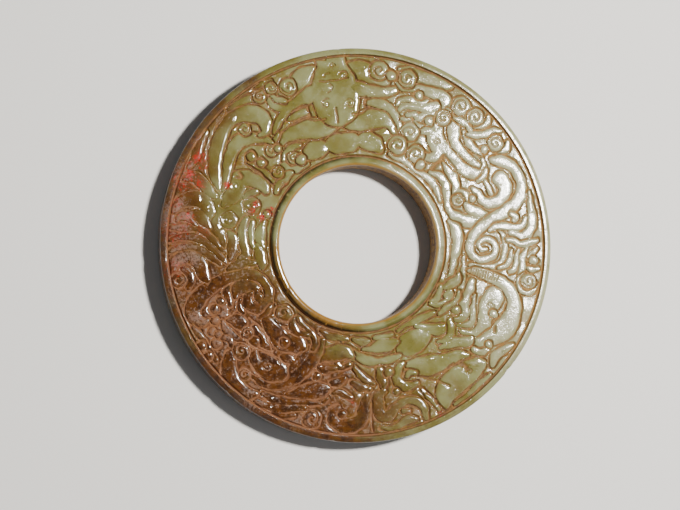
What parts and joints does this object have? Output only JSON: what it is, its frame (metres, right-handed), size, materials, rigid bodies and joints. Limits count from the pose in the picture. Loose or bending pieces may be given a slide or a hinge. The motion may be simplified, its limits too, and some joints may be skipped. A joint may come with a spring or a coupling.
{
  "type": "jade bi disc",
  "caption": "Flat carved jade ring with plain rims, a face of coiling dragons and cloud scrolls in low relief, and a plainer back of cloud curls.",
  "frame": {"origin": "middle of the underside, on the axis of the hole, at the level that the disc rests on", "axes": "+Z out of the carved face, +Y to the side where the frontal beast stands, +X to its right as the face is seen"},
  "size_m": [0.09, 0.09, 0.008],
  "materials": {
    "jade": "polished olive green jade with a russet zone, tan earth in the carving, red specks and a waxy gloss"
  },
  "bodies": {
    "root": {"disc": "jade"}
  },
  "joints": []
}
